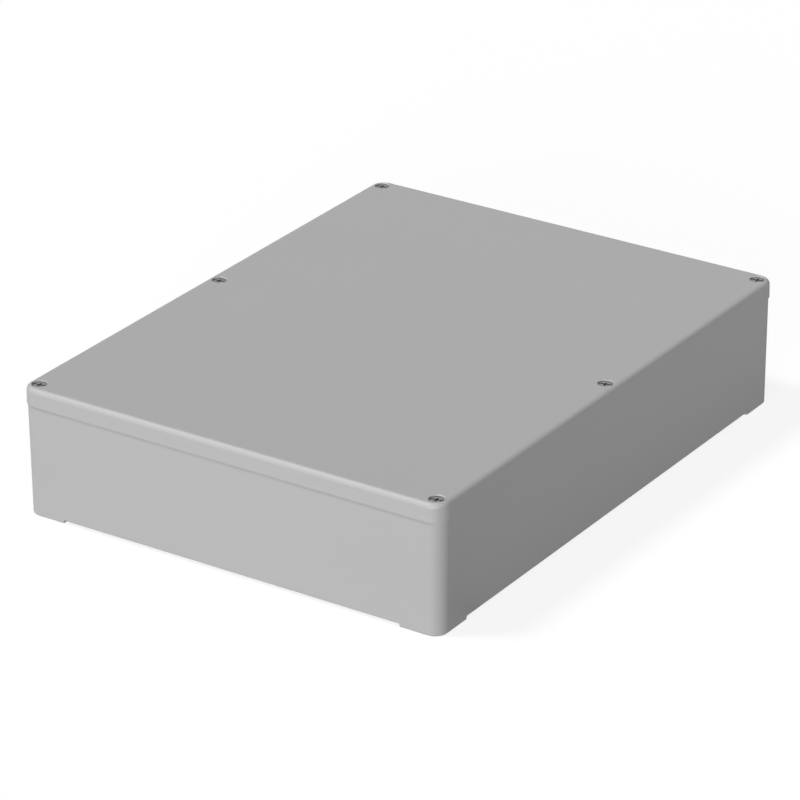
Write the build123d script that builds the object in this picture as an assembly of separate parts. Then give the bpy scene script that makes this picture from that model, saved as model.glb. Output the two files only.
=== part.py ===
"""Screw-down polycarbonate instrument case, 400 x 310 x 88 mm, light grey.

The frame has +Z up, X along the long side and Y along the short side, and the front is at -Y. The origin is
on the surface under the middle of the case. All sizes are in millimetres.

A moulded base stands on four corner feet, and a moulded lid closes it. Six captive screws run through the
lid's edge into brass inserts in the base: one in each corner, and one in the middle of each long side. They
and the wall fixing holes lie outside the seal: a tongue on the base presses into a gasket in a groove of the
lid, and both follow the cavity's outline round the blocks that hold the screws. Bosses on the floor hold
brass inserts for a mounting plate.
"""

import os

from build123d import *

# Outside
LID_LENGTH = 400.0
LID_WIDTH = 310.0
LID_HEIGHT = 12.2
BASE_HEIGHT = 75.8  # up to the parting plane, feet included
CORNER_RADIUS = 10.0
LID_OVERHANG = 0.7  # the lid stands out past the base by this much at the parting plane
BASE_DRAFT = 0.4  # degrees, the base narrows towards its foot
LID_DRAFT = 1.0  # degrees, the lid narrows towards its top
LID_TOP_RADIUS = 3.4
LID_RIM_RADIUS = 0.3  # on the lid's lower edge
BASE_RIM_RADIUS = 0.3  # on the base's upper edge

# Feet
FOOT_HEIGHT = 2.0
FOOT_LENGTH = 31.0  # from the lid's edge
FOOT_WIDTH = 30.0
FOOT_CORNER_RADIUS = 4.0
FOOT_DRAFT = 8.0  # degrees
FOOT_EDGE_RADIUS = 1.2

# Walls
WALL = 4.5
FLOOR = 4.0
LID_PLATE = 4.0
LID_SKIRT = 3.2
CAVITY_FLOOR_RADIUS = 2.0
CAVITY_CORNER_RADIUS = 5.0
BLOCK_CORNER_RADIUS = 6.0
MIDDLE_BLOCK_WIDTH = 18.0
SEAL_TO_SCREW = 11.0  # from a middle screw's axis in to the cavity

# Seal
TONGUE_WIDTH = 1.6
TONGUE_HEIGHT = 3.0
TONGUE_EDGE = 0.3
GROOVE_CLEARANCE = 0.4  # on each side of the tongue
GROOVE_WALL = 2.0
LIP_WIDTH = 1.6  # wall of the lid on the cavity's side of the groove
LIP_CLEARANCE = 0.6  # from the lip down to the parting plane
GASKET_HEIGHT = 3.0
GASKET_SIDE_GAP = 0.1
GASKET_EDGE = 0.4

# Lid screws
SCREW_INSET_X = 9.3  # from the lid's edge to a screw's axis
SCREW_INSET_Y = 8.4
THREAD_DIAMETER = 5.0
SHANK_DIAMETER = 4.0
RING_GROOVE_DIAMETER = 3.2
HEAD_DIAMETER = 8.8
HEAD_HEIGHT = 3.2
HEAD_EDGE_RADIUS = 0.5
HEAD_SINK = 0.7  # from the lid's face down to the top of a head
SLOT_WIDTH = 1.2
SLOT_DEPTH = 1.3
CROSS_LENGTH = 5.0
CROSS_DEPTH = 2.3
CROSS_TAPER = 12.0  # degrees
SLOT_ANGLE = 98.0  # degrees from the long side, as all six are left when tightened
TIP_CHAMFER = 0.7
SCREW_TRAVEL = 9.0  # a screw backs out this far before its ring meets the lid
FREE_TRAVEL = 0.5  # the last of that travel, with the thread out of its insert
RUNNING_CLEARANCE = 0.05

# Places of the lid screws in the lid and the base
RECESS_DIAMETER = 9.6
RECESS_EDGE = 0.35
THROAT_DIAMETER = 5.6
THROAT_LAND = 2.0
RING_POCKET_DIAMETER = 8.4
LID_BOSS_DIAMETER = 14.8

# Retaining rings
RING_DIAMETER = 7.8
RING_THICKNESS = 1.6
RING_MOUTH = 2.8
RING_END_PLAY = 0.1  # between a ring and each side of its groove

# Brass inserts
INSERT_CLEARANCE = 0.05
LID_INSERT_DIAMETER = 7.0
LID_INSERT_LENGTH = 10.0
LID_INSERT_DROP = 0.5  # from a ring down to its insert
INSERT_HOLE_RELIEF = 3.0
RELIEF_DIAMETER = 5.6
PLATE_INSERT_DIAMETER = 5.6
PLATE_INSERT_LENGTH = 8.0
PLATE_THREAD_DIAMETER = 4.0
INSERT_EDGE = 0.3
INSERT_WAIST_DEPTH = 0.4
INSERT_WAIST_WIDTH = 1.0

# Wall fixing holes and the wells above them
FIXING_INSET_X = 24.0  # from the lid's edge to a fixing hole's axis
FIXING_INSET_Y = 11.0
FIXING_HOLE_DIAMETER = 6.5
FIXING_HEAD_DIAMETER = 11.0
FIXING_SEAT_HEIGHT = 6.0
WELL_WALL = 2.8
WELL_CORNER_RADIUS = 2.0
POST_DIAMETER = 13.0

# Bosses for a mounting plate
BOSS_INSET_X = 40.0  # from the lid's edge to a boss's axis
BOSS_INSET_Y = 40.0
BOSS_HEIGHT = 8.0
BOSS_DIAMETER = 11.0
BOSS_DRAFT = 1.0  # degrees
BOSS_ROOT_RADIUS = 1.0

NEAR = 0.001  # heights closer than this count as the same when edges are picked

parting_z = BASE_HEIGHT
top_z = BASE_HEIGHT + LID_HEIGHT
floor_z = FOOT_HEIGHT + FLOOR
plate_z = top_z - LID_PLATE
groove_z = parting_z + TONGUE_HEIGHT + GASKET_HEIGHT
boss_z = floor_z + BOSS_HEIGHT

base_length = LID_LENGTH - 2 * LID_OVERHANG
base_width = LID_WIDTH - 2 * LID_OVERHANG
screw_x = LID_LENGTH / 2 - SCREW_INSET_X
screw_y = LID_WIDTH / 2 - SCREW_INSET_Y
fixing_x = LID_LENGTH / 2 - FIXING_INSET_X
fixing_y = LID_WIDTH / 2 - FIXING_INSET_Y
boss_x = LID_LENGTH / 2 - BOSS_INSET_X
boss_y = LID_WIDTH / 2 - BOSS_INSET_Y
cavity_x = base_length / 2 - WALL
cavity_y = base_width / 2 - WALL
well_x = fixing_x - FIXING_HEAD_DIAMETER / 2
well_y = fixing_y - FIXING_HEAD_DIAMETER / 2

head_seat_z = top_z - HEAD_SINK - HEAD_HEIGHT
throat_z = head_seat_z - THROAT_LAND
ring_top_z = throat_z - SCREW_TRAVEL
ring_z = ring_top_z - RING_THICKNESS
lid_insert_top_z = ring_z - LID_INSERT_DROP
lid_insert_z = lid_insert_top_z - LID_INSERT_LENGTH
tip_z = lid_insert_top_z - SCREW_TRAVEL + FREE_TRAVEL
plate_insert_z = boss_z - PLATE_INSERT_LENGTH

ROWS = {"front": -1, "middle": 0, "back": 1}
COLUMNS = {"left": -1, "middle": 0, "right": 1}
CORNERS = [(-1, -1), (1, -1), (1, 1), (-1, 1)]
screw_places = {
    f"{row}_{column}": (COLUMNS[column] * screw_x, ROWS[row] * screw_y)
    for row in ("front", "back")
    for column in COLUMNS
}
boss_places = {
    f"{row}_{column}": (COLUMNS[column] * boss_x, ROWS[row] * boss_y)
    for row in ROWS
    for column in COLUMNS
    if (row, column) != ("middle", "middle")
}


def rounded_block(length, width, radius, low, height, taper):
    """An upright block with rounded corners that narrows upwards, or downwards if its height is negative."""
    return extrude(Pos(0, 0, low) * RectangleRounded(length, width, radius), height, taper=taper)


def disc(place, diameter, low, high):
    """An upright cylinder between two heights."""
    return Pos(place[0], place[1], low) * extrude(Circle(diameter / 2), high - low)


def slab(low, high):
    """A block that is wider than the case, between two heights."""
    return Pos(0, 0, (low + high) / 2) * Box(2 * LID_LENGTH, 2 * LID_WIDTH, high - low)


def at_height(shape, height):
    """The edges of a shape that lie flat at one height."""
    return shape.edges().filter_by_position(Axis.Z, height - NEAR, height + NEAR)


def cavity_plan(grow, height):
    """The cavity's outline at the parting plane, grown outwards, at a height."""
    side_x = cavity_x + grow
    side_y = cavity_y + grow
    corner_x = well_x - WELL_WALL + grow
    corner_y = well_y - WELL_WALL + grow
    middle_x = MIDDLE_BLOCK_WIDTH / 2 - grow
    middle_y = screw_y - SEAL_TO_SCREW + grow
    inside = CAVITY_CORNER_RADIUS + grow
    outside = BLOCK_CORNER_RADIUS - grow
    quarter = [
        (side_x, corner_y, inside),
        (corner_x, corner_y, outside),
        (corner_x, side_y, inside),
        (middle_x, side_y, inside),
        (middle_x, middle_y, outside),
    ]
    points = []
    for sign_x, sign_y in [(1, 1), (-1, 1), (-1, -1), (1, -1)]:
        turn = quarter if sign_x == sign_y else quarter[::-1]
        points += [(sign_x * x, sign_y * y, radius) for x, y, radius in turn]
    outline = FilletPolyline(
        [(x, y) for x, y, _ in points], radius=[radius for _, _, radius in points], close=True
    )
    return Pos(0, 0, height) * make_face(outline)


def seal_band(inner, outer, low, high):
    """A wall that follows the seal, from one growth of the cavity's outline to another."""
    return extrude(cavity_plan(outer, low) - cavity_plan(inner, low), high - low)


def base_outside():
    """The base's drafted outside with its upper edge rounded, down to the soles of its feet."""
    corner = CORNER_RADIUS - LID_OVERHANG
    block = rounded_block(base_length, base_width, corner, parting_z, -BASE_HEIGHT, BASE_DRAFT)
    return fillet(at_height(block, parting_z), BASE_RIM_RADIUS)


def foot(outside, sign_x, sign_y):
    """A corner foot, flush with the walls."""
    top = FOOT_HEIGHT + FOOT_EDGE_RADIUS
    plan = RectangleRounded(2 * FOOT_LENGTH, 2 * FOOT_WIDTH, FOOT_CORNER_RADIUS)
    place = Pos(sign_x * LID_LENGTH / 2, sign_y * LID_WIDTH / 2, top)
    pad = outside & place * extrude(plan, -top, taper=FOOT_DRAFT)
    return fillet(at_height(pad, 0), FOOT_EDGE_RADIUS)


def well(sign_x, sign_y):
    """The open well above a wall fixing hole, between the cavity's wall and the post of the corner screw."""
    depth = parting_z - FIXING_SEAT_HEIGHT
    plan = Pos((well_x + screw_x) / 2, (well_y + cavity_y) / 2) * RectangleRounded(
        screw_x - well_x, cavity_y - well_y, WELL_CORNER_RADIUS
    )
    post = disc((screw_x, screw_y), POST_DIAMETER, FIXING_SEAT_HEIGHT, parting_z)
    hollow = extrude(Pos(0, 0, parting_z) * plan, -depth, taper=BASE_DRAFT) - post
    hollow += disc((fixing_x, fixing_y), FIXING_HOLE_DIAMETER, 0, parting_z)
    for side, flip in ((sign_x, Plane.YZ), (sign_y, Plane.XZ)):
        if side < 0:
            hollow = mirror(hollow, flip)
    return hollow


def screw_bore(place):
    """The bore in the base for a lid screw's ring, its insert and the tip of its thread."""
    insert_hole = LID_INSERT_DIAMETER + 2 * INSERT_CLEARANCE
    bore = disc(place, RING_POCKET_DIAMETER, lid_insert_top_z, parting_z)
    bore += disc(place, insert_hole, lid_insert_z, lid_insert_top_z)
    return bore + disc(place, RELIEF_DIAMETER, lid_insert_z - INSERT_HOLE_RELIEF, lid_insert_z)


def plate_boss(place):
    """A boss on the floor for a mounting plate, without its hole."""
    plan = Circle(BOSS_DIAMETER / 2)
    return Pos(place[0], place[1], floor_z) * extrude(plan, BOSS_HEIGHT, taper=BOSS_DRAFT)


def make_base():
    outside = base_outside()
    body = outside & slab(FOOT_HEIGHT, 2 * top_z)
    body = fillet(at_height(body, FOOT_HEIGHT), FOOT_EDGE_RADIUS)
    for sign_x, sign_y in CORNERS:
        body += foot(outside, sign_x, sign_y)
    cavity = extrude(cavity_plan(0, parting_z), -(parting_z - floor_z), taper=BASE_DRAFT)
    cavity = fillet(at_height(cavity, floor_z), CAVITY_FLOOR_RADIUS)
    body -= cavity
    for place in boss_places.values():
        body += plate_boss(place)
    roots = at_height(body, floor_z).filter_by(GeomType.CIRCLE).filter_by(
        lambda edge: abs(edge.radius - BOSS_DIAMETER / 2) < BOSS_ROOT_RADIUS / 10
    )
    body = fillet(roots, BOSS_ROOT_RADIUS)
    for place in boss_places.values():
        body -= disc(place, PLATE_INSERT_DIAMETER + 2 * INSERT_CLEARANCE, plate_insert_z, boss_z)
    tongue = seal_band(0, TONGUE_WIDTH, parting_z, parting_z + TONGUE_HEIGHT)
    body += chamfer(at_height(tongue, parting_z + TONGUE_HEIGHT), TONGUE_EDGE)
    for sign_x, sign_y in CORNERS:
        body -= well(sign_x, sign_y)
    for place in screw_places.values():
        body -= screw_bore(place)
    return body


def make_lid():
    block = rounded_block(LID_LENGTH, LID_WIDTH, CORNER_RADIUS, parting_z, LID_HEIGHT, LID_DRAFT)
    block = fillet(at_height(block, top_z), LID_TOP_RADIUS)
    block = fillet(at_height(block, parting_z), LID_RIM_RADIUS)
    hollow = rounded_block(
        LID_LENGTH - 2 * LID_SKIRT,
        LID_WIDTH - 2 * LID_SKIRT,
        CORNER_RADIUS - LID_SKIRT,
        parting_z,
        plate_z - parting_z,
        LID_DRAFT,
    )
    groove_edge = TONGUE_WIDTH + GROOVE_CLEARANCE
    inside = seal_band(-GROOVE_CLEARANCE, groove_edge + GROOVE_WALL, parting_z, plate_z)
    lip_z = parting_z + LIP_CLEARANCE
    inside += seal_band(-GROOVE_CLEARANCE - LIP_WIDTH, -GROOVE_CLEARANCE, lip_z, plate_z)
    for place in screw_places.values():
        inside += disc(place, LID_BOSS_DIAMETER, parting_z, plate_z)
    block -= hollow - inside
    block -= seal_band(-GROOVE_CLEARANCE, groove_edge, parting_z, groove_z)
    for place in screw_places.values():
        recess = disc(place, RECESS_DIAMETER, head_seat_z, top_z)
        radius = RECESS_DIAMETER / 2
        rim = Pos(place[0], place[1], top_z - RECESS_EDGE / 2)
        recess += rim * Cone(radius, radius + RECESS_EDGE, RECESS_EDGE)
        recess += disc(place, THROAT_DIAMETER, throat_z, head_seat_z)
        block -= recess + disc(place, RING_POCKET_DIAMETER, parting_z, throat_z)
    return block


def make_gasket():
    inner = -GROOVE_CLEARANCE + GASKET_SIDE_GAP
    outer = TONGUE_WIDTH + GROOVE_CLEARANCE - GASKET_SIDE_GAP
    low = parting_z + TONGUE_HEIGHT
    band = seal_band(inner, outer, low, groove_z)
    return chamfer(at_height(band, low), GASKET_EDGE)


def make_screw():
    """A lid screw on the Z axis at its height when driven home."""
    centre = (0, 0)
    ring_play_z = ring_z - RING_END_PLAY
    head = disc(centre, HEAD_DIAMETER, head_seat_z, head_seat_z + HEAD_HEIGHT)
    head = fillet(at_height(head, head_seat_z + HEAD_HEIGHT), HEAD_EDGE_RADIUS)
    body = head + disc(centre, SHANK_DIAMETER, ring_top_z + RING_END_PLAY, head_seat_z)
    body += disc(centre, RING_GROOVE_DIAMETER, ring_play_z, ring_top_z + RING_END_PLAY)
    thread = disc(centre, THREAD_DIAMETER, tip_z, ring_play_z)
    body += chamfer(at_height(thread, tip_z), TIP_CHAMFER)
    face_z = head_seat_z + HEAD_HEIGHT
    body -= Pos(0, 0, face_z) * Box(2 * HEAD_DIAMETER, SLOT_WIDTH, 2 * SLOT_DEPTH)
    cross = Rectangle(CROSS_LENGTH, SLOT_WIDTH) + Rectangle(SLOT_WIDTH, CROSS_LENGTH)
    body -= extrude(Pos(0, 0, face_z) * cross, -CROSS_DEPTH, taper=CROSS_TAPER)
    return Rot(0, 0, SLOT_ANGLE) * body


def make_ring():
    """The ring that holds a lid screw in the lid, snapped into the screw's groove from one side."""
    bore = RING_GROOVE_DIAMETER + 2 * RUNNING_CLEARANCE
    ring = disc((0, 0), RING_DIAMETER, ring_z, ring_top_z) - disc((0, 0), bore, ring_z, ring_top_z)
    middle = (ring_z + ring_top_z) / 2
    return ring - Pos(RING_DIAMETER / 2, 0, middle) * Box(RING_DIAMETER, RING_MOUTH, RING_THICKNESS)


def make_insert(diameter, bore, low, high):
    """A brass insert with a waist between its two knurled bands, which are left plain."""
    body = disc((0, 0), diameter, low, high)
    body = chamfer(at_height(body, low), INSERT_EDGE)
    middle = (low + high) / 2
    waist = (middle - INSERT_WAIST_WIDTH / 2, middle + INSERT_WAIST_WIDTH / 2)
    body -= disc((0, 0), diameter, *waist) - disc((0, 0), diameter - 2 * INSERT_WAIST_DEPTH, *waist)
    return body - disc((0, 0), bore, low, high)


def write(shape, node, place=(0, 0)):
    solid = Pos(place[0], place[1], 0) * shape
    solid.label = node
    export_step(solid, f"parts/{node}.step")


os.makedirs("parts", exist_ok=True)
write(make_base(), "base")
write(make_lid(), "lid")
write(make_gasket(), "lid_gasket")

screw = make_screw()
ring = make_ring()
thread_bore = THREAD_DIAMETER + 2 * RUNNING_CLEARANCE
lid_insert = make_insert(LID_INSERT_DIAMETER, thread_bore, lid_insert_z, lid_insert_top_z)
for name, place in screw_places.items():
    write(screw, f"lid_screw_{name}", place)
    write(ring, f"screw_ring_{name}", place)
    write(lid_insert, f"lid_insert_{name}", place)

plate_insert = make_insert(PLATE_INSERT_DIAMETER, PLATE_THREAD_DIAMETER, plate_insert_z, boss_z)
for name, place in boss_places.items():
    write(plate_insert, f"plate_insert_{name}", place)
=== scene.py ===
from math import atan2, cos, pi, radians, sin, tan

import bmesh
import bpy
from mathutils import Matrix, Vector


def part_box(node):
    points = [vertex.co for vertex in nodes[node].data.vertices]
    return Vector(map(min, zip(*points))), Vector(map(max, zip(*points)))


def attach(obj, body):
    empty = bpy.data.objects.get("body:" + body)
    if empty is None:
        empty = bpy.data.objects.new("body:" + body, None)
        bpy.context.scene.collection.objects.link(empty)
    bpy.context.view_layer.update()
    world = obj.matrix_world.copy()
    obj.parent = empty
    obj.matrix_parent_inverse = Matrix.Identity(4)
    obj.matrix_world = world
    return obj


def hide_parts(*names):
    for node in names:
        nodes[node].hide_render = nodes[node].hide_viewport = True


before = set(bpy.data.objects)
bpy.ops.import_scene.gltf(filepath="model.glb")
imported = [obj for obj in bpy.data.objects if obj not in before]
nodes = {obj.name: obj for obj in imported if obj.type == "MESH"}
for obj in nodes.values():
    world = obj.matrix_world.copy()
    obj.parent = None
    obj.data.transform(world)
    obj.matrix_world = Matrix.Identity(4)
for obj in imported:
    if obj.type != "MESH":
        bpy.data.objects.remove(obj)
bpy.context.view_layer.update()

MM = 0.001


# Sizes in millimetres. Heights are above the surface that the case stands on.

def in_tenths(*lengths):
    """Lengths of the frame in millimetres, rounded to the tenth that the CAD pieces are drawn to."""
    return [round(length / MM, 1) for length in lengths]


def axis_of(node):
    """Where a round, upright CAD piece stands."""
    low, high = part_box(node)
    return in_tenths((low[0] + high[0]) / 2, (low[1] + high[1]) / 2)


def form_of(node):
    """The radius, the foot and the top of a round, upright CAD piece. Its box is measured across Y, because
    the rings' mouths face +X."""
    low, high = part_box(node)
    return in_tenths((high[1] - low[1]) / 2, low[2], high[2])


COLUMNS = ("left", "middle", "right")
screw_places = {f"{row}_{column}": axis_of(f"lid_screw_{row}_{column}")
                for row in ("front", "back") for column in COLUMNS}
boss_places = {f"{row}_{column}": axis_of(f"plate_insert_{row}_{column}")
               for row in ("front", "middle", "back") for column in COLUMNS
               if (row, column) != ("middle", "middle")}

HEAD_RADIUS, TIP, HEAD_TOP = form_of("lid_screw_front_left")
RING_RADIUS, RING_BOTTOM, RING_TOP = form_of("screw_ring_front_left")

HAIR = 0.02  # left free where a screw's head rests on the lid, and where its ring stops against it

HEAD_HEIGHT = 3.2
HEAD_EDGE = 0.5  # radius of a head's upper edge
HEAD_RIM = 0.2  # bevel of its lower edge
SLOT_WIDTH = 1.2  # of the slot and of the cross's blades
SLOT_DEPTH = 1.3
SLOT_REACH = 12.0  # more than a head's width, so that the slot is open at both ends
SLOT_ANGLE = 98.0  # degrees from the case's long side
SLOT_EDGE = 0.07  # rounding of a head's edges round the slot and the cross
CROSS_LENGTH = 5.0
CROSS_DEPTH = 2.3
CROSS_TAPER = 12.0  # degrees
SHANK_RADIUS = 2.0
TIP_RADIUS = 1.75
TIP_BEVEL = 0.3  # height over which the tip widens to the shank
GROOVE_RADIUS = 1.6
GROOVE_EDGE = 0.1
GROOVE_PLAY = 0.1  # between a ring and each side of its groove
GROOVE_TOP = RING_TOP + GROOVE_PLAY
GROOVE_BOTTOM = RING_BOTTOM - GROOVE_PLAY

THREAD_RADIUS = 2.5
THREAD_PITCH = 0.8
THREAD_ROOT = 0.76  # width of a thread's ridge at its root
THREAD_CHAMFER = 0.7  # height over which the thread grows from the tip
THREAD_RUN_OUT = 0.6  # its full height ends this far below the groove
THREAD_GAP = 0.12  # left bare between the thread and the groove
CREST_SHARE = 0.15  # of the root's width is left at a crest

RING_MOUTH = 2.8
RING_EDGE = 0.25  # round the outside
BORE_EDGE = 0.1  # round the bore and the mouth
RUNNING_CLEARANCE = 0.05  # between a ring and its screw

WAIST_WIDTH = 1.0  # between an insert's two knurls
WAIST_DEPTH = 0.4
COLLAR_HEIGHT = 0.8
COLLAR_EDGE = 0.1
LEAD_IN_HEIGHT = 0.6
LEAD_IN_DEPTH = 0.3
KNURL_DEPTH = 0.2
KNURL_ROWS = 8  # of faces up a knurl, for its twist
KNURL_TWIST = 24.0  # degrees from the foot of a knurl to its top
BORE_CHAMFER = 0.3
TAP_DEPTH = 0.25
TAP_ROOT = 0.8  # of the pitch is the width of a tapped groove at the bore
LID_INSERT = {"bore": 2.55, "pitch": THREAD_PITCH, "teeth": 30}
PLATE_INSERT = {"bore": 2.0, "pitch": 0.7, "teeth": 26}

TOOL_HEIGHT = 4.0  # of the tools that cut through a ring, which is lower
WELD = 0.001  # points nearer to each other than this are merged
NEAR = 0.002  # a point nearer than this to a place counts as being there


# Materials

def linear(code):
    """An sRGB hex value as the linear colour that a shader takes."""
    channels = [int(code[i:i + 2], 16) / 255 for i in (1, 3, 5)]
    return [c / 12.92 if c <= 0.04045 else ((c + 0.055) / 1.055) ** 2.4 for c in channels] + [1.0]


def new_material(name):
    """A material with its node tree and its shader."""
    material = bpy.data.materials.new(name)
    material.use_nodes = True
    return material, material.node_tree, material.node_tree.nodes["Principled BSDF"]


def add(tree, kind, links=None, inputs=None, **settings):
    """Adds a node with its settings, its inputs' values, and links from other sockets into its own."""
    node = tree.nodes.new(kind)
    for name, value in settings.items():
        setattr(node, name, value)
    for socket, value in (inputs or {}).items():
        node.inputs[socket].default_value = value
    for socket, source in (links or {}).items():
        tree.links.new(source, node.inputs[socket])
    return node


def moulded_polycarbonate():
    """Polycarbonate, injection-moulded in a spark-eroded tool. It gives an even light grey with a fine matt
    skin, a soft sheen on rounded edges, and a very faint drift in tone where the melt has flowed."""
    material, tree, shader = new_material("moulded_polycarbonate_light_grey")
    place = add(tree, "ShaderNodeTexCoord").outputs["Object"]
    flow = add(tree, "ShaderNodeTexNoise", {"Vector": place}, {"Scale": 1 / (70 * MM), "Detail": 2.0})
    tone = add(tree, "ShaderNodeMix", {0: flow.outputs["Fac"]},
               {6: linear("#C3C3C3"), 7: linear("#C5C5C5")}, data_type="RGBA")
    tree.links.new(tone.outputs[2], shader.inputs["Base Color"])
    # Real spark pits are about 0.05 mm apart. They are drawn 0.5 mm apart to show in a close view.
    pits = add(tree, "ShaderNodeTexNoise", {"Vector": place},
               {"Scale": 1 / (0.5 * MM), "Detail": 3.0, "Roughness": 0.6})
    skin = add(tree, "ShaderNodeBump", {"Height": pits.outputs["Fac"]},
               {"Strength": 0.25, "Distance": 0.06 * MM})
    tree.links.new(skin.outputs["Normal"], shader.inputs["Normal"])
    shader.inputs["Roughness"].default_value = 0.5
    shader.inputs["IOR"].default_value = 1.585
    return material


def turned_steel():
    """Stainless steel turned on a lathe. It is a mid grey metal with fine rings round the screw's axis, and
    they spread its highlights sideways."""
    material, tree, shader = new_material("turned_stainless_steel")
    own = add(tree, "ShaderNodeAttribute", attribute_name="own_place")
    across = add(tree, "ShaderNodeVectorMath", {0: own.outputs["Vector"]}, {1: (1, 1, 0)},
                 operation="MULTIPLY")
    radius = add(tree, "ShaderNodeVectorMath", {0: across.outputs[0]}, operation="LENGTH")
    # A finishing cut feeds 0.05 mm a turn. The rings are drawn 0.25 mm apart to show in a close view.
    rings = add(tree, "ShaderNodeTexNoise", {"W": radius.outputs["Value"]},
                {"Scale": 1 / (0.25 * MM), "Detail": 2.0}, noise_dimensions="1D")
    cut = add(tree, "ShaderNodeBump", {"Height": rings.outputs["Fac"]},
              {"Strength": 0.35, "Distance": 0.02 * MM})
    tree.links.new(cut.outputs["Normal"], shader.inputs["Normal"])
    # Handling leaves patches about 1.5 mm across, a little duller than the rest.
    wear = add(tree, "ShaderNodeTexNoise", {"Vector": own.outputs["Vector"]}, {"Scale": 1 / (1.5 * MM)})
    rough = add(tree, "ShaderNodeMapRange", {"Value": wear.outputs["Fac"]},
                {"To Min": 0.30, "To Max": 0.42})
    tree.links.new(rough.outputs["Result"], shader.inputs["Roughness"])
    shader.inputs["Base Color"].default_value = linear("#929190")
    shader.inputs["Metallic"].default_value = 1.0
    return material


def knurled_brass():
    """Free-cutting brass, turned and knurled. It is yellow, and bright where the tool has cut, with duller
    patches where it has begun to stain."""
    material, tree, shader = new_material("knurled_brass")
    own = add(tree, "ShaderNodeAttribute", attribute_name="own_place")
    stain = add(tree, "ShaderNodeTexNoise", {"Vector": own.outputs["Vector"]},
                {"Scale": 1 / (1.2 * MM), "Detail": 3.0})
    tone = add(tree, "ShaderNodeMix", {0: stain.outputs["Fac"]},
               {6: linear("#C7A25A"), 7: linear("#D9BC78")}, data_type="RGBA")
    tree.links.new(tone.outputs[2], shader.inputs["Base Color"])
    rough = add(tree, "ShaderNodeMapRange", {"Value": stain.outputs["Fac"]},
                {"To Min": 0.34, "To Max": 0.22})
    tree.links.new(rough.outputs["Result"], shader.inputs["Roughness"])
    # Tool marks of a finishing cut, drawn 0.3 mm apart to show in a close view.
    marks = add(tree, "ShaderNodeTexNoise", {"Vector": own.outputs["Vector"]}, {"Scale": 1 / (0.3 * MM)})
    cut = add(tree, "ShaderNodeBump", {"Height": marks.outputs["Fac"]},
              {"Strength": 0.3, "Distance": 0.01 * MM})
    tree.links.new(cut.outputs["Normal"], shader.inputs["Normal"])
    shader.inputs["Metallic"].default_value = 1.0
    return material


def natural_nylon():
    """Natural nylon 6, moulded and undyed. It is milky off-white and slightly translucent, with a satin
    surface."""
    material, tree, shader = new_material("natural_nylon")
    own = add(tree, "ShaderNodeAttribute", attribute_name="own_place")
    cloud = add(tree, "ShaderNodeTexNoise", {"Vector": own.outputs["Vector"]},
                {"Scale": 1 / (2.5 * MM), "Detail": 2.0})
    tone = add(tree, "ShaderNodeMix", {0: cloud.outputs["Fac"]},
               {6: linear("#E6E3D8"), 7: linear("#EFEDE4")}, data_type="RGBA")
    tree.links.new(tone.outputs[2], shader.inputs["Base Color"])
    shader.inputs["Roughness"].default_value = 0.38
    shader.inputs["IOR"].default_value = 1.53
    shader.inputs["Subsurface Weight"].default_value = 0.3
    shader.inputs["Subsurface Scale"].default_value = 0.5 * MM
    return material


def foam_rubber():
    """Closed-cell EPDM foam, cut from sheet. It is a dull black, and its cut faces lay fine cells open, with
    painted shade in their hollows.
    """
    material, tree, shader = new_material("closed_cell_epdm_foam")
    place = add(tree, "ShaderNodeTexCoord").outputs["Object"]
    # The foam's cells are about 0.3 mm across.
    cell_pits_and_shade = add(tree, "ShaderNodeTexVoronoi", {"Vector": place}, {"Scale": 1 / (0.3 * MM)})
    # Each cell's colour is painted darker towards its dented middle, as painted shade in the hollow.
    tone = add(tree, "ShaderNodeMix", {0: cell_pits_and_shade.outputs["Distance"]},
               {6: linear("#161617"), 7: linear("#2A2A2B")}, data_type="RGBA")
    tree.links.new(tone.outputs[2], shader.inputs["Base Color"])
    dents = add(tree, "ShaderNodeBump", {"Height": cell_pits_and_shade.outputs["Distance"]},
                {"Strength": 0.6, "Distance": 0.08 * MM})
    tree.links.new(dents.outputs["Normal"], shader.inputs["Normal"])
    shader.inputs["Roughness"].default_value = 0.85
    shader.inputs["IOR"].default_value = 1.5
    return material


polycarbonate = moulded_polycarbonate()
steel = turned_steel()
brass = knurled_brass()
nylon = natural_nylon()
foam = foam_rubber()
nodes["base"].data.materials[0] = polycarbonate
nodes["lid"].data.materials[0] = polycarbonate
nodes["lid_gasket"].data.materials[0] = foam


# Small pieces. Each is made once on the Z axis, and then copied to its places.

def clear_selection():
    """Nothing is left selected, so an operator acts only on what is made or picked next."""
    if bpy.context.mode != "OBJECT":
        bpy.ops.object.mode_set(mode="OBJECT")
    bpy.ops.object.select_all(action="DESELECT")


def pick(piece):
    """Selects one piece alone, and makes it the active one."""
    clear_selection()
    piece.select_set(True)
    bpy.context.view_layer.objects.active = piece


def close_edit():
    """Merges points that lie together, turns every face outwards, and leaves edit mode."""
    bpy.ops.mesh.select_all(action="SELECT")
    bpy.ops.mesh.remove_doubles(threshold=WELD * MM)
    bpy.ops.mesh.normals_make_consistent(inside=False)
    bpy.ops.object.mode_set(mode="OBJECT")


def turned(name, outline, segments=64):
    """A solid of revolution, drawn ring by ring from its outline of radii and heights."""
    clear_selection()
    radius, height = outline[0]
    bpy.ops.mesh.primitive_circle_add(vertices=segments, radius=radius * MM, fill_type="NGON",
                                      location=(0, 0, height * MM))
    bpy.ops.object.transform_apply(location=True)
    piece = bpy.context.object
    piece.name = name
    bpy.ops.object.mode_set(mode="EDIT")
    bpy.ops.mesh.select_all(action="SELECT")
    for next_radius, next_height in outline[1:]:
        step = (0, 0, (next_height - height) * MM)
        bpy.ops.mesh.extrude_region_move(TRANSFORM_OT_translate={"value": step})
        grow = next_radius / radius
        bpy.ops.transform.resize(value=(grow, grow, 1), center_override=(0, 0, next_height * MM))
        radius, height = next_radius, next_height
    close_edit()
    return piece


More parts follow.
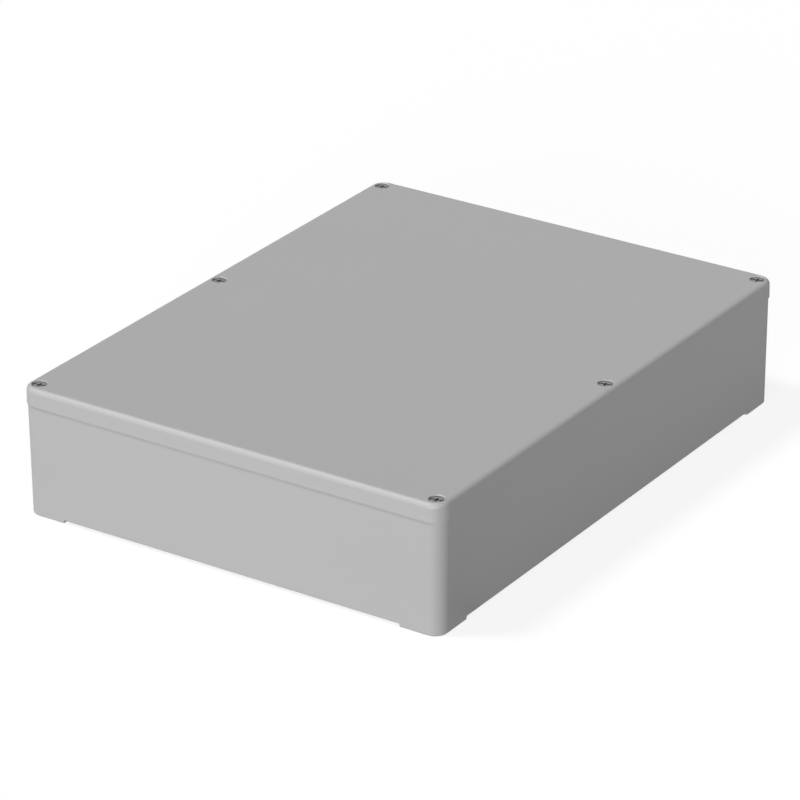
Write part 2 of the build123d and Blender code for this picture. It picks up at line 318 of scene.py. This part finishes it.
def rounded_corner(radius, height, edge, steps):
    """Points of an outline round an upper corner. Left sharp, it would be at the radius and the height."""
    turns = [radians(90 * i / steps) for i in range(steps + 1)]
    return [(radius - edge + edge * cos(t), height - edge + edge * sin(t)) for t in turns]


def thread_ridge(name, root, crest, root_width, pitch, low, high, steps=40):
    """A helical ridge with closed ends, from a root radius to a narrow crest at another radius."""
    clear_selection()
    middle = (root + crest) / 2
    bpy.ops.mesh.primitive_plane_add(size=1, location=(middle * MM, 0, low * MM), rotation=(pi / 2, 0, 0))
    piece = bpy.context.object
    piece.name = name
    piece.scale = (abs(crest - root) * MM, root_width * MM, 1)
    bpy.ops.object.transform_apply(location=True, rotation=True, scale=True)
    for vertex in piece.data.vertices:
        vertex.select = abs(vertex.co.x - crest * MM) < NEAR * MM
    for edge in piece.data.edges:
        edge.select = all(piece.data.vertices[i].select for i in edge.vertices)
    for face in piece.data.polygons:
        face.select = False
    bpy.ops.object.mode_set(mode="EDIT")
    bpy.ops.transform.resize(value=(1, 1, CREST_SHARE), center_override=(crest * MM, 0, low * MM))
    bpy.ops.object.mode_set(mode="OBJECT")
    bpy.ops.object.modifier_add(type="SCREW")
    winding = piece.modifiers[-1]
    winding.axis = "Z"
    winding.angle = 2 * pi
    winding.screw_offset = pitch * MM
    winding.iterations = round((high - low) / pitch)
    winding.steps = steps
    winding.render_steps = steps
    bpy.ops.object.modifier_apply(modifier=winding.name)
    bpy.ops.object.mode_set(mode="EDIT")
    bpy.ops.mesh.select_all(action="SELECT")
    bpy.ops.mesh.fill_holes(sides=4)
    close_edit()
    return piece


def combine(piece, tool, operation):
    """Cuts, joins or trims a piece with a tool, which is used up."""
    pick(piece)
    bpy.ops.object.modifier_add(type="BOOLEAN")
    change = piece.modifiers[-1]
    change.object = tool
    change.operation = operation
    change.solver = "MANIFOLD"
    bpy.ops.object.modifier_apply(modifier=change.name)
    bpy.data.objects.remove(tool)


def soften_edges(piece, width, heights, angle=35, segments=2):
    """Rounds those edges of a piece that lie flat at some heights and turn by more than an angle."""
    pick(piece)
    bpy.ops.object.mode_set(mode="EDIT")
    bpy.ops.mesh.select_all(action="SELECT")
    # A cut leaves flat faces in slivers, which are joined first.
    bpy.ops.mesh.dissolve_limited(angle_limit=radians(0.5))
    bpy.ops.mesh.select_all(action="DESELECT")
    mesh = bmesh.from_edit_mesh(piece.data)
    for edge in mesh.edges:
        ends = [vertex.co.z for vertex in edge.verts]
        flat = any(all(abs(end - height * MM) < NEAR * MM for end in ends) for height in heights)
        edge.select = flat and edge.calc_face_angle(0) > radians(angle)
    bmesh.update_edit_mesh(piece.data)
    bpy.ops.mesh.bevel(offset=width * MM, segments=segments)
    close_edit()


def finish_piece(piece, material, angle=30):
    """Gives a piece its material, smooth shading where it turns by less than an angle, and the place of each
    of its points about its own axis, for its material to read."""
    pick(piece)
    piece.data.materials.clear()
    piece.data.materials.append(material)
    bpy.ops.object.shade_smooth_by_angle(angle=radians(angle))
    bpy.ops.object.modifier_add(type="WEIGHTED_NORMAL")
    piece.modifiers[-1].keep_sharp = True
    bpy.ops.object.modifier_apply(modifier=piece.modifiers[-1].name)
    own = piece.data.attributes.new("own_place", "FLOAT_VECTOR", "POINT")
    for point, vertex in zip(own.data, piece.data.vertices):
        point.vector = vertex.co


def put_copies(piece, places, prefix, body):
    """Puts a copy of a piece in each place. Each stands for its CAD node and moves with its body."""
    for name, (x, y) in places.items():
        pick(piece)
        bpy.ops.object.duplicate(linked=False)
        copy = bpy.context.object
        copy.name = f"{prefix}_{name}_detailed"
        copy.location = (x * MM, y * MM, 0)
        bpy.ops.object.transform_apply(location=True)
        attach(copy, body.format(name))
        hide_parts(f"{prefix}_{name}")
    bpy.data.objects.remove(piece)


def box_tool(name, size, place, angle=0.0):
    """A block to cut with, turned about the Z axis by an angle in degrees."""
    clear_selection()
    bpy.ops.mesh.primitive_cube_add(size=1, location=[v * MM for v in place],
                                    rotation=(0, 0, radians(angle)))
    tool = bpy.context.object
    tool.name = name
    tool.scale = [v * MM for v in size]
    bpy.ops.object.transform_apply(location=True, rotation=True, scale=True)
    return tool


def cross_tool(length, width, depth, taper, top, angle):
    """The punch of a cross recess: two crossed blades that taper downwards, turned about the Z axis."""
    blades = []
    for turn in (angle, angle + 90):
        blade = box_tool("blade", (length, width, 2 * depth), (0, 0, top), turn)
        bpy.ops.object.mode_set(mode="EDIT")
        bpy.ops.mesh.select_all(action="DESELECT")
        mesh = bmesh.from_edit_mesh(blade.data)
        for vertex in mesh.verts:
            vertex.select = vertex.co.z < top * MM
        mesh.select_flush(True)
        bmesh.update_edit_mesh(blade.data)
        narrow = 1 - 2 * depth * tan(radians(taper)) / length
        bpy.ops.transform.resize(value=(narrow, narrow, 1), center_override=(0, 0, (top - depth) * MM))
        close_edit()
        blades.append(blade)
    combine(blades[0], blades[1], "UNION")
    return blades[0]


def lid_screw():
    """A captive M5 case screw: slotted cross head, bare shank, groove for its ring, and thread."""
    seat = HEAD_TOP - HEAD_HEIGHT + HAIR
    outline = [(TIP_RADIUS, TIP), (SHANK_RADIUS, TIP + TIP_BEVEL),
               (SHANK_RADIUS, GROOVE_BOTTOM - GROOVE_EDGE), (GROOVE_RADIUS, GROOVE_BOTTOM),
               (GROOVE_RADIUS, GROOVE_TOP - GROOVE_EDGE), (SHANK_RADIUS - GROOVE_EDGE, GROOVE_TOP),
               (SHANK_RADIUS, GROOVE_TOP + GROOVE_EDGE), (SHANK_RADIUS, seat),
               (HEAD_RADIUS - HEAD_RIM, seat), (HEAD_RADIUS, seat + HEAD_RIM)]
    outline += rounded_corner(HEAD_RADIUS, HEAD_TOP, HEAD_EDGE, steps=8)
    screw = turned("screw", outline)
    # The upper half of the slot's tool is above the head.
    slot = box_tool("slot", (SLOT_REACH, SLOT_WIDTH, 2 * SLOT_DEPTH), (0, 0, HEAD_TOP), SLOT_ANGLE)
    combine(screw, slot, "DIFFERENCE")
    cross = cross_tool(CROSS_LENGTH, SLOT_WIDTH, CROSS_DEPTH, CROSS_TAPER, HEAD_TOP, SLOT_ANGLE)
    combine(screw, cross, "DIFFERENCE")
    # The thread's ridge is sunk a little in the shank and goes a turn beyond its room at both ends, before
    # it is trimmed to that room. Its crest stays just inside the room's wall.
    ridge = thread_ridge("ridge", SHANK_RADIUS - 0.08, THREAD_RADIUS - 0.01, THREAD_ROOT, THREAD_PITCH,
                         TIP - THREAD_PITCH, GROOVE_BOTTOM + THREAD_PITCH)
    room = turned("room", [(TIP_RADIUS + 0.05, TIP), (THREAD_RADIUS, TIP + THREAD_CHAMFER),
                           (THREAD_RADIUS, GROOVE_BOTTOM - THREAD_RUN_OUT),
                           (SHANK_RADIUS - 0.05, GROOVE_BOTTOM - THREAD_GAP)])
    combine(ridge, room, "INTERSECT")
    combine(screw, ridge, "UNION")
    soften_edges(screw, SLOT_EDGE, [HEAD_TOP])
    return screw


def retaining_ring():
    """The nylon ring in a lid screw's groove, with a mouth that snaps over it and rounded edges."""
    top = RING_TOP - HAIR
    outline = [(RING_RADIUS - RING_EDGE, RING_BOTTOM), (RING_RADIUS, RING_BOTTOM + RING_EDGE)]
    outline += rounded_corner(RING_RADIUS, top, RING_EDGE, steps=3)
    ring = turned("ring", outline)
    middle = (top + RING_BOTTOM) / 2
    radius = GROOVE_RADIUS + RUNNING_CLEARANCE
    bore = turned("bore", [(radius, middle - TOOL_HEIGHT / 2), (radius, middle + TOOL_HEIGHT / 2)],
                  segments=48)
    combine(ring, bore, "DIFFERENCE")
    mouth = box_tool("mouth", (2 * RING_RADIUS, RING_MOUTH, TOOL_HEIGHT), (RING_RADIUS, 0, middle))
    combine(ring, mouth, "DIFFERENCE")
    soften_edges(ring, BORE_EDGE, [RING_BOTTOM, top])
    return ring


def knurled_band(radius, depth, teeth, low, high, twist):
    """A knurled barrel: alternate columns of its side are drawn in, and the whole is twisted."""
    height = high - low
    middle = (low + high) / 2
    clear_selection()
    bpy.ops.mesh.primitive_cylinder_add(vertices=2 * teeth, radius=radius * MM, depth=height * MM,
                                        location=(0, 0, middle * MM))
    band = bpy.context.object
    band.name = "knurl"
    bpy.ops.object.mode_set(mode="EDIT")
    bpy.ops.mesh.select_all(action="DESELECT")
    mesh = bmesh.from_edit_mesh(band.data)
    for edge in mesh.edges:
        start, end = edge.verts
        edge.select = abs(start.co.z - end.co.z) > height / 2 * MM
    bmesh.update_edit_mesh(band.data)
    bpy.ops.mesh.subdivide(number_cuts=KNURL_ROWS - 1)
    mesh = bmesh.from_edit_mesh(band.data)
    for vertex in mesh.verts:
        column = round(atan2(vertex.co.y, vertex.co.x) / (pi / teeth))
        vertex.select = column % 2 == 0
    mesh.select_flush(True)
    bmesh.update_edit_mesh(band.data)
    draw_in = 1 - depth / radius
    bpy.ops.transform.resize(value=(draw_in, draw_in, 1), center_override=(0, 0, middle * MM))
    bpy.ops.object.mode_set(mode="OBJECT")
    bpy.ops.object.modifier_add(type="SIMPLE_DEFORM")
    turn = band.modifiers[-1]
    turn.deform_method = "TWIST"
    turn.deform_axis = "Z"
    turn.angle = radians(twist)
    bpy.ops.object.modifier_apply(modifier=turn.name)
    bpy.ops.object.transform_apply(location=True)
    return band


def brass_insert(radius, low, high, bore, pitch, teeth):
    """A threaded insert: two knurled bands that slant opposite ways, a waist between them, a plain collar on
    top and a plain lead-in below."""
    middle = (low + high) / 2
    waist = radius - WAIST_DEPTH
    guide = radius - LEAD_IN_DEPTH
    lead_in = low + LEAD_IN_HEIGHT
    collar = high - COLLAR_HEIGHT
    insert = turned("insert", [(guide - 0.05, low), (guide, lead_in), (waist, lead_in + 0.1),
                               (waist, collar - 0.05), (radius, collar), (radius, high - COLLAR_EDGE),
                               (radius - COLLAR_EDGE, high)])
    # The upper band ends inside the collar, and both bands are a little narrower than it.
    for start, end, twist in ((lead_in, middle - WAIST_WIDTH / 2, KNURL_TWIST),
                              (middle + WAIST_WIDTH / 2, collar + 0.1, -KNURL_TWIST)):
        band = knurled_band(radius - 0.02, KNURL_DEPTH, teeth, start, end, twist)
        combine(insert, band, "UNION")
    # The drill stands out at both ends, where its cones leave the bore's chamfers.
    beyond = 0.2
    mouth = bore + BORE_CHAMFER + beyond
    drill = turned("drill", [(mouth, low - beyond), (bore, low + BORE_CHAMFER),
                             (bore, high - BORE_CHAMFER), (mouth, high + beyond)], segments=48)
    combine(insert, drill, "DIFFERENCE")
    tap = thread_ridge("tap", bore - 0.05, bore + TAP_DEPTH, TAP_ROOT * pitch, pitch,
                       low - pitch, high + pitch, steps=36)
    combine(insert, tap, "DIFFERENCE")
    return insert


screw = lid_screw()
finish_piece(screw, steel)
put_copies(screw, screw_places, "lid_screw", "screw_{}")

ring = retaining_ring()
finish_piece(ring, nylon)
put_copies(ring, screw_places, "screw_ring", "ring_{}")

insert = brass_insert(*form_of("lid_insert_front_left"), **LID_INSERT)
finish_piece(insert, brass)
put_copies(insert, screw_places, "lid_insert", "base")

insert = brass_insert(*form_of("plate_insert_front_left"), **PLATE_INSERT)
finish_piece(insert, brass)
put_copies(insert, boss_places, "plate_insert", "base")


# Stage, light and camera, in metres. A lamp's vector points to it, and is as long as its light is strong.

WORLD_LIGHT = 0.197
HIGH_LAMP = Vector((-0.132, 0.183, 0.391))
HIGH_SPREAD = 12  # degrees across, as seen from the case
LOW_LAMP = Vector((-0.675, -0.198, 0.09))
LOW_SPREAD = 30
LAMP_DISTANCE = 3  # where a lamp is drawn, which makes no difference to its light
FLOOR_SIZE = 12
FLOOR_GLOW = 0.85


def seen_directly(tree):
    """Is 1 for what the camera sees, also in gloss or through something, and 0 for light on things."""
    rays = add(tree, "ShaderNodeLightPath")
    seen = add(tree, "ShaderNodeMath", {0: rays.outputs["Is Camera Ray"], 1: rays.outputs["Is Glossy Ray"]},
               operation="MAXIMUM")
    seen = add(tree, "ShaderNodeMath", {0: seen.outputs[0], 1: rays.outputs["Is Transmission Ray"]},
               operation="MAXIMUM")
    return seen.outputs[0]


def pale_floor():
    """A floor that is seen as white, with the case's faint shadow on it."""
    clear_selection()
    bpy.ops.mesh.primitive_plane_add(size=FLOOR_SIZE)
    floor = bpy.context.object
    floor.name = "floor"
    material = bpy.data.materials.new("pale_matt_floor")
    material.use_nodes = True
    tree = material.node_tree
    tree.nodes.clear()
    glow = add(tree, "ShaderNodeMath", {0: seen_directly(tree)}, {1: FLOOR_GLOW}, operation="MULTIPLY")
    white = add(tree, "ShaderNodeEmission", {"Strength": glow.outputs[0]})
    matt = add(tree, "ShaderNodeBsdfDiffuse", inputs={"Color": linear("#848484")})
    both = add(tree, "ShaderNodeAddShader", {0: white.outputs[0], 1: matt.outputs[0]})
    add(tree, "ShaderNodeOutputMaterial", {"Surface": both.outputs[0]})
    floor.data.materials.append(material)


def white_world():
    """An even light from all round, seen as white."""
    world = bpy.data.worlds.new("studio")
    bpy.context.scene.world = world
    world.use_nodes = True
    tree = world.node_tree
    tree.nodes.clear()
    level = add(tree, "ShaderNodeMapRange", {"Value": seen_directly(tree)},
                {"To Min": WORLD_LIGHT, "To Max": 1.0})
    sky = add(tree, "ShaderNodeBackground", {"Strength": level.outputs[0]})
    add(tree, "ShaderNodeOutputWorld", {"Surface": sky.outputs[0]})


def distant_lamp(name, towards, spread):
    """A distant lamp. At a strength of 1 a matt face turned to it shows its colour as written."""
    bpy.ops.object.light_add(type="SUN", location=towards.normalized() * LAMP_DISTANCE)
    lamp = bpy.context.object
    lamp.name = name
    lamp.rotation_euler = towards.to_track_quat("Z", "Y").to_euler()
    lamp.data.energy = towards.length * pi
    lamp.data.angle = radians(spread)


pale_floor()
white_world()
distant_lamp("high_lamp_behind_left", HIGH_LAMP, HIGH_SPREAD)
distant_lamp("low_lamp_from_left", LOW_LAMP, LOW_SPREAD)

# The photograph's camera, from a fit to the case's edges, corners and screw centres.
CAMERA_PLACE = Vector((-2.13971, -1.42008, 1.24633))
CAMERA_FORWARD = Vector((0.75307, 0.50186, -0.42547))
CAMERA_RIGHT = Vector((0.55256, -0.83346, -0.00509))
FOCAL_LENGTH = 199.94  # millimetres, as is the sensor's width
SENSOR_WIDTH = 36

bpy.ops.object.camera_add(location=CAMERA_PLACE)
camera = bpy.context.object
camera.name = "photo_camera"
back = -CAMERA_FORWARD.normalized()
right = (CAMERA_RIGHT - CAMERA_RIGHT.dot(back) * back).normalized()
up = back.cross(right)
camera.rotation_euler = Matrix((right, up, back)).transposed().to_euler()
camera.data.lens = FOCAL_LENGTH
camera.data.sensor_width = SENSOR_WIDTH
camera.data.clip_end = 100
bpy.context.scene.camera = camera
bpy.context.scene.view_settings.view_transform = "Standard"
